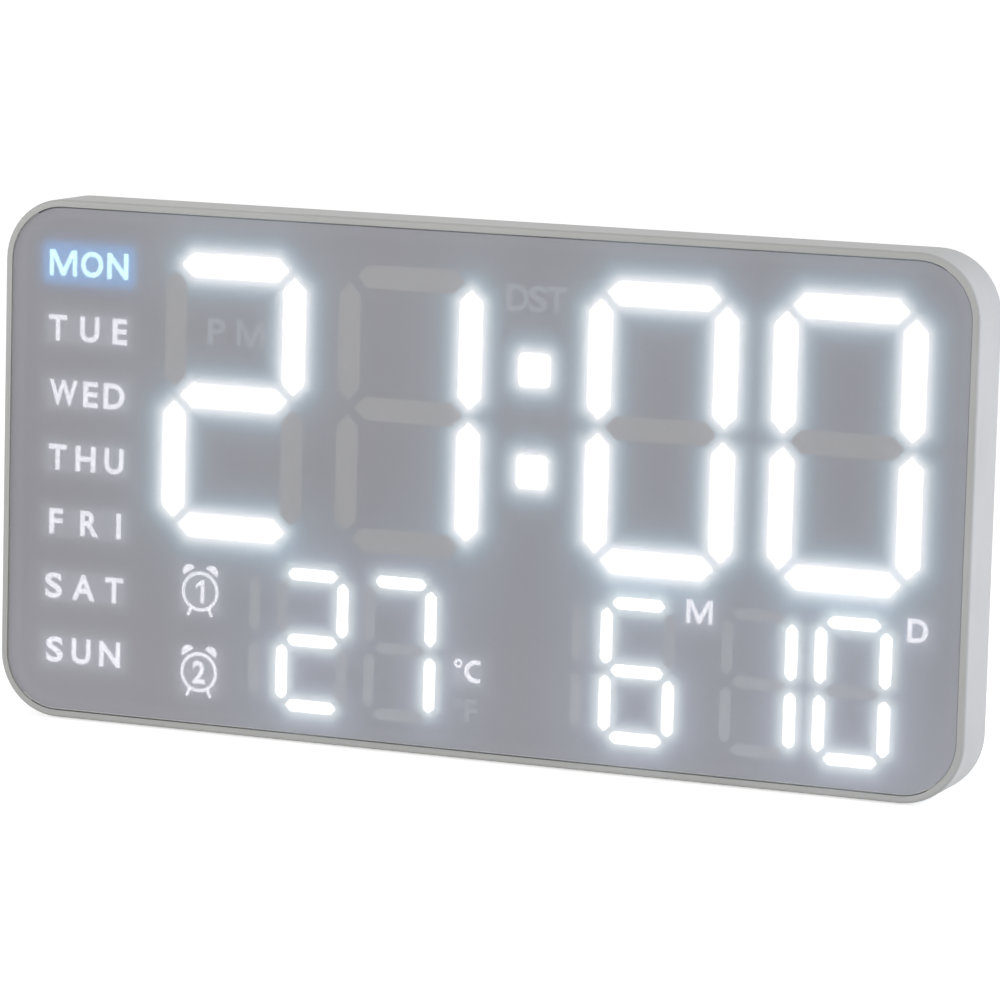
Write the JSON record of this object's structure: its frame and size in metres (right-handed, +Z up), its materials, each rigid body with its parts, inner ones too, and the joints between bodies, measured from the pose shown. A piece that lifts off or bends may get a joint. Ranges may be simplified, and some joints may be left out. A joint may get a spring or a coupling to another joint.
{
  "type": "digital day clock",
  "caption": "Slim rounded-rectangle digital day clock with a full-face display of time, weekday, date and temperature, a folding rear leg, keyholes, rear keys and a lift-off cell door.",
  "frame": {"origin": "middle of the clock's footprint, on the surface its rubber feet stand on", "axes": "+X to the reader's right, +Y away from the reader through the clock's depth, +Z up"},
  "size_m": [0.26, 0.018, 0.134],
  "materials": {
    "frame_plastic": "pale silver grey, fine satin grain",
    "lens_acrylic": "smoked translucent panel, anti-glare satin",
    "mask_print": "printed grey film",
    "white_plastic": "moulded white",
    "diffuser": "milky diffusing resin",
    "board_laminate": "green solder mask",
    "led_body": "pale yellow resin",
    "black_plastic": "moulded black",
    "plated_metal": "nickel plated",
    "key_plastic": "dark grey satin keys",
    "cover_plastic": "pale silver grey, fine texture",
    "screw_steel": "zinc plated",
    "pad_rubber": "matt black rubber"
  },
  "bodies": {
    "housing": {"front_frame": "frame_plastic", "display_lens": "lens_acrylic", "lens_gasket": "black_plastic", "display_mask": "mask_print", "light_box": "white_plastic", "hour_tens_segments": "diffuser", "hour_units_segments": "diffuser", "minute_tens_segments": "diffuser", "minute_units_segments": "diffuser", "temperature_hundreds_segments": "diffuser", "temperature_tens_segments": "diffuser", "temperature_units_segments": "diffuser", "month_tens_segments": "diffuser", "month_units_segments": "diffuser", "day_tens_segments": "diffuser", "day_units_segments": "diffuser", "colon_dots": "diffuser", "weekday_windows": "diffuser", "symbol_windows": "diffuser", "display_board": "board_laminate", "display_leds": "led_body", "controller_chip": "black_plastic", "clock_crystal": "plated_metal", "buzzer": "black_plastic", "temperature_sensor": "black_plastic", "usb_socket": "plated_metal", "cell_holder": "black_plastic", "coin_cell": "plated_metal", "tact_switches": "black_plastic", "rear_cover": "cover_plastic", "cover_screws": "screw_steel", "light_box_screws": "screw_steel", "board_screws": "screw_steel", "stand_pin": "screw_steel", "rubber_feet": "pad_rubber"},
    "leg": {"stand_leg": "cover_plastic", "stand_foot_pad": "pad_rubber"},
    "set_key": {"set_button": "key_plastic"},
    "up_key": {"up_button": "key_plastic"},
    "down_key": {"down_button": "key_plastic"},
    "alarm_key": {"alarm_button": "key_plastic"},
    "dimmer_key": {"dimmer_button": "key_plastic"},
    "door": {"battery_door": "cover_plastic"}
  },
  "joints": [
    {"name": "leg_hinge", "type": "hinge", "parent": "housing", "child": "leg", "pos_m": [0, 0.0059, 0.0965], "axis": [1, 0, 0], "range_deg": [0, 27.5]},
    {"name": "set_press", "type": "slide", "parent": "housing", "child": "set_key", "axis": [0, -1, 0], "range_m": [0, 0.0005], "stiffness_N_per_m": 1000},
    {"name": "up_press", "type": "slide", "parent": "housing", "child": "up_key", "axis": [0, -1, 0], "range_m": [0, 0.0005], "stiffness_N_per_m": 1000},
    {"name": "down_press", "type": "slide", "parent": "housing", "child": "down_key", "axis": [0, -1, 0], "range_m": [0, 0.0005], "stiffness_N_per_m": 1000},
    {"name": "alarm_press", "type": "slide", "parent": "housing", "child": "alarm_key", "axis": [0, -1, 0], "range_m": [0, 0.0005], "stiffness_N_per_m": 1000},
    {"name": "dimmer_press", "type": "slide", "parent": "housing", "child": "dimmer_key", "axis": [0, -1, 0], "range_m": [0, 0.0005], "stiffness_N_per_m": 1000},
    {"name": "door_lift", "type": "slide", "parent": "housing", "child": "door", "axis": [0, 1, 0], "range_m": [0, 0.015]}
  ]
}
